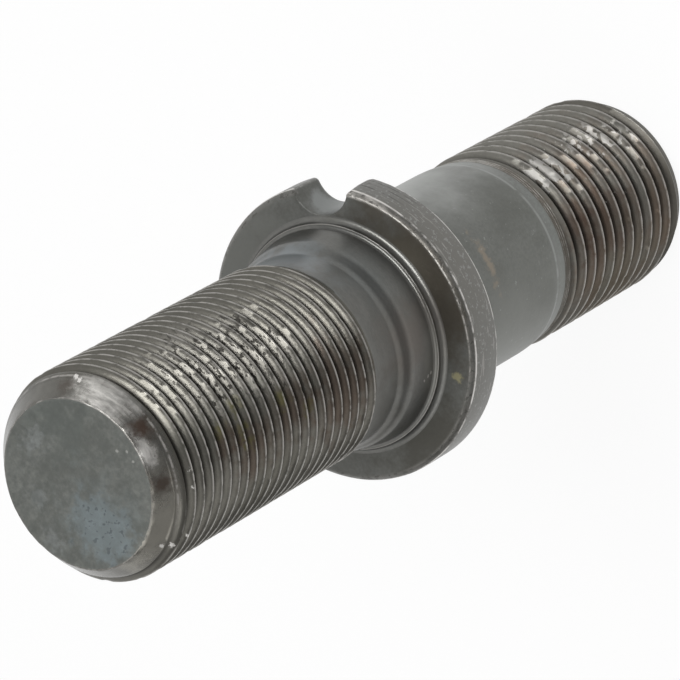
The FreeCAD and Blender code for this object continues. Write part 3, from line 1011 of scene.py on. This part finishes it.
# Two broad pale blots on the two sides: the one towards the lights is a painted sheen, and the other side
# is painted a little paler.
blot(steel, at(60, 40, 10.95), 15.0, (0.37, 0.38, 0.365), 0.42, 0.9, 0.2, 6.0, 0.95, (1.2, 1.2, 0.6))
blot(steel, at(-78, 40, 10.95), 15.0, (0.20, 0.206, 0.19), 0.42, 0.8, 0.2, 6.0, 0.95, (1.2, 1.2, 0.6))
blot(steel, at(-24, 38.8, 10.95), 1.6, (0.28, 0.235, 0.18), 0.46, 0.7, 0.7, 0.9, 0.9, (0.42, 0.42, 1.8))
wear_edge(steel, 10.92, 27.2, 0.3, 0.42, (0.36, 0.37, 0.36), 0.42, 2.0)
specks = scattered(tree, flecks, 0.7, 0.15)
coat(steel, specks, (0.28, 0.29, 0.28), 0.4, 0.1, 0.6)
shank_steel = finish_off(steel, 0.8, 0.02)

# %% [markdown]
# ### Coarse thread
# The hub's thread has been in use: its flanks are brown with old rust and oil, turn by turn in
# another tone, and on one side the dark layer has flaked off down to bright steel. Its flanks are also
# painted darker down towards the roots, and its last turns at the hub's end are painted dark to hold
# back a highlight: both are painted shade.

# %% Finish: coarse thread
steel, tree = new_finish("coarse_thread_steel", (0.228, 0.222, 0.198), 0.36)
bar = use(tree, turned_place)
mottle = mottled(tree, 4.0, 0.3, 97.0, (0.6, 0.6, 1.7))
turns = mottled(tree, 2.0, 0.5, 41.0, (0.15, 0.15, 0.9))
coat(steel, mottle["Grain"], (0.150, 0.145, 0.130), 0.42, 0.3, 0.4)
blot(steel, at(-50, 12, CREST), 17.0, (0.185, 0.138, 0.104), 0.38, 0.9, 0.3, 3.0, 0.6, only=turns["Cloud"])
blots(steel, CREST, ((-36, 15, 7.0), (-30, 21, 4.0)), (0.110, 0.064, 0.047), 0.40, 0.5, 0.7, 2.0, 0.9)
blot(steel, at(-80, 12, CREST), 10.0, (0.175, 0.155, 0.118), 0.40, 0.6, 0.5, 3.0, 0.9)
thread = use(tree, crest_and_root, {"Crest": CREST, "Depth": COARSE_GROOVE, "Root From": 0.3})
past_chamfer = fade(bar["Height"], 1.3, 2.3)
# Painted shade: the coarse flanks darken from the crest down to the root.
shaded = use(tree, crest_and_root, {"Crest": CREST, "Depth": COARSE_GROOVE, "Root From": -0.2})["Root"]
coat(steel, times(shaded, past_chamfer), DIRT_AND_SHADE, 0.5, 0.0, 0.72)
coat(steel, times(thread["Root"], past_chamfer), DIRT_AND_SHADE, 0.6, 0.0, 0.85)
# Painted shade: the last turns at the hub's end are darkened to hold back the soft box's highlight.
coat(steel, fade(bar["Height"], 3.4, 2.2), (0.105, 0.099, 0.086), 0.50, 0.0, 0.75)
coat(steel, thread["Rubbed"], RUBBED, 0.36, 0.0, 0.65)
on_flank = calc(tree, "SUBTRACT", 1.0, thread["Root"])
broken_out = scattered(tree, flakes, 0.8, 0.62, (1, 0.8, 1.1))
below_waist = fade(bar["Height"], 23.7, 23.3)
flake_place = times(times(broken_out, on_flank), below_waist)
blots(steel, CREST, ((6, 22.9, 2.3), (7, 20.8, 2.3), (8, 18.8, 1.7), (0, 18.4, 1.4)),
      (0.36, 0.35, 0.33), 0.52, 0.95, 0.35, 0.8, 0.2, (1, 1, 1.2), only=flake_place)
crumbled = scattered(tree, flakes, 0.3, 0.36, (0.6, 0.6, 1.2))
blots(steel, CREST, ((14, 12.5, 2.2), (12, 9.5, 3.0), (4, 7.8, 2.4), (7, 5.3, 2.4)),
      (0.42, 0.405, 0.38), 0.52, 0.9, 0.4, 0.8, 0.5, only=times(crumbled, on_flank))
chips = scattered(tree, flecks, 0.5, 0.3)
blot(steel, at(5, 14, CREST), 9.0, RUBBED, 0.46, 0.8, 0.4, 2.0, 0.8, only=chips)
coarse_steel = finish_off(steel, 0.85, 0.03)

# %% [markdown]
# ## Giving each stretch its finish
# The zones follow the turned form, so height and radius of a face say which finish it takes.

# %% Assign the finishes
FINISHES = (end_face, fine_steel, neck_steel, collar_steel, shank_steel, coarse_steel)


def zone(height, radius):
    """The finish of a face, by its number; small margins keep the blends with their neighbours."""
    if height > LENGTH - 0.1 and radius < END_RADIUS - 0.1:
        return 0
    if height > NECK_TOP[1]:
        return 1
    if height > COLLAR_TOP[1] + NEAR and radius < FOOT[0] + 1.0:
        return 2
    if height > COLLAR_LOW[1] - 0.2 and radius > SHANK_TOP[0] + 0.3:
        return 3
    if height > WAIST[1]:
        return 4
    return 5


for material in FINISHES:
    bolt.data.materials.append(material)
for face in bolt.data.polygons:
    face.material_index = zone(face.center.z / MM, face.center.xy.length / MM)
for index, material in enumerate(FINISHES):
    faces = sum(face.material_index == index for face in bolt.data.polygons)
    print(material.name, "on", faces, "faces")
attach(bolt, "root")
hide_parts("wheel_bolt")

# %% [markdown]
# ## Floor and backdrop
# The bolt stands on white paper that also goes up behind it. The camera, and the steel when it
# mirrors the paper, see it as white: that share is a glow of strength 1, and the rest is lit, so the
# shadow stays.

# %% Floor and backdrop
PAPER_GLOW = 0.92
paper = bpy.data.materials.new("white_paper")
paper.use_nodes = True
tree = paper.node_tree
tree.nodes.clear()
path = put(tree, "LightPath").outputs
looked_at = calc(tree, "ADD", path["Is Camera Ray"], path["Is Glossy Ray"])
looked_at = calc(tree, "MINIMUM", calc(tree, "ADD", looked_at, path["Is Transmission Ray"]), 1.0)
lit = put(tree, "BsdfDiffuse", None, {"Color": (0.93, 0.93, 0.93, 1)})
glow = put(tree, "Emission", None, {"Color": (1, 1, 1, 1), "Strength": 1.0})
seen = put(tree, "MixShader", None, {0: times(looked_at, PAPER_GLOW),
                                     1: lit.outputs[0], 2: glow.outputs[0]})
put(tree, "OutputMaterial", None, {"Surface": seen.outputs[0]})

bpy.ops.mesh.primitive_plane_add(size=6, location=(0, 0, 0))
floor = bpy.context.object
floor.name = "paper_floor"
floor.data.materials.append(paper)

BACKDROP_RADIUS = 1.5
BACKDROP_HEIGHT = 2.6
BACKDROP_FROM = 50
BACKDROP_TO = 215
bearings = [math.radians(degrees) for degrees in range(BACKDROP_FROM, BACKDROP_TO + 1, 5)]
backdrop = draw_chain("paper_backdrop", [Vector((math.cos(a), math.sin(a), 0)) * BACKDROP_RADIUS / MM
                                         for a in bearings])
bpy.ops.mesh.select_all(action="SELECT")
bpy.ops.mesh.extrude_region_move(TRANSFORM_OT_translate={"value": (0, 0, BACKDROP_HEIGHT)})
leave_edit()
backdrop.data.materials.append(paper)
print("backdrop of", len(backdrop.data.polygons), "panels")

# %% [markdown]
# ## Light
# One soft box above the camera draws the bright band along the thread, and a large, weak one lifts
# the thread's shaded side. The room around is dim grey, so that the steel has something dark to
# mirror, too: shiny metal in an all-white room looks flat.

# %% World and light
world = bpy.data.worlds.new("dim_room")
bpy.context.scene.world = world
world.use_nodes = True
tree = world.node_tree
tree.nodes.clear()
sky = put(tree, "Background", None, {"Color": (1, 1, 1, 1), "Strength": 0.3})
put(tree, "OutputWorld", None, {"Surface": sky.outputs[0]})


def soft_box(name, direction, distance, width, height, power):
    """A flat soft light that looks at the middle of the bolt."""
    middle = Vector((0, 0, LENGTH / 2)) * MM
    aim = Vector(direction).normalized()
    bpy.ops.object.light_add(type="AREA", location=middle + aim * distance,
                             rotation=aim.to_track_quat("Z", "Y").to_euler())
    lamp = bpy.context.object
    lamp.name = name
    lamp.data.shape = "RECTANGLE"
    lamp.data.size = width
    lamp.data.size_y = height
    lamp.data.energy = power
    print(name, "at", [round(x, 2) for x in lamp.location])


soft_box("key_box", (0.36, 0.20, 0.91), 0.6, 0.42, 0.2, 2.7)
soft_box("fill_box", (-0.27, -0.58, 0.77), 0.9, 0.8, 0.6, 1.7)
bpy.context.scene.view_settings.view_transform = "Standard"
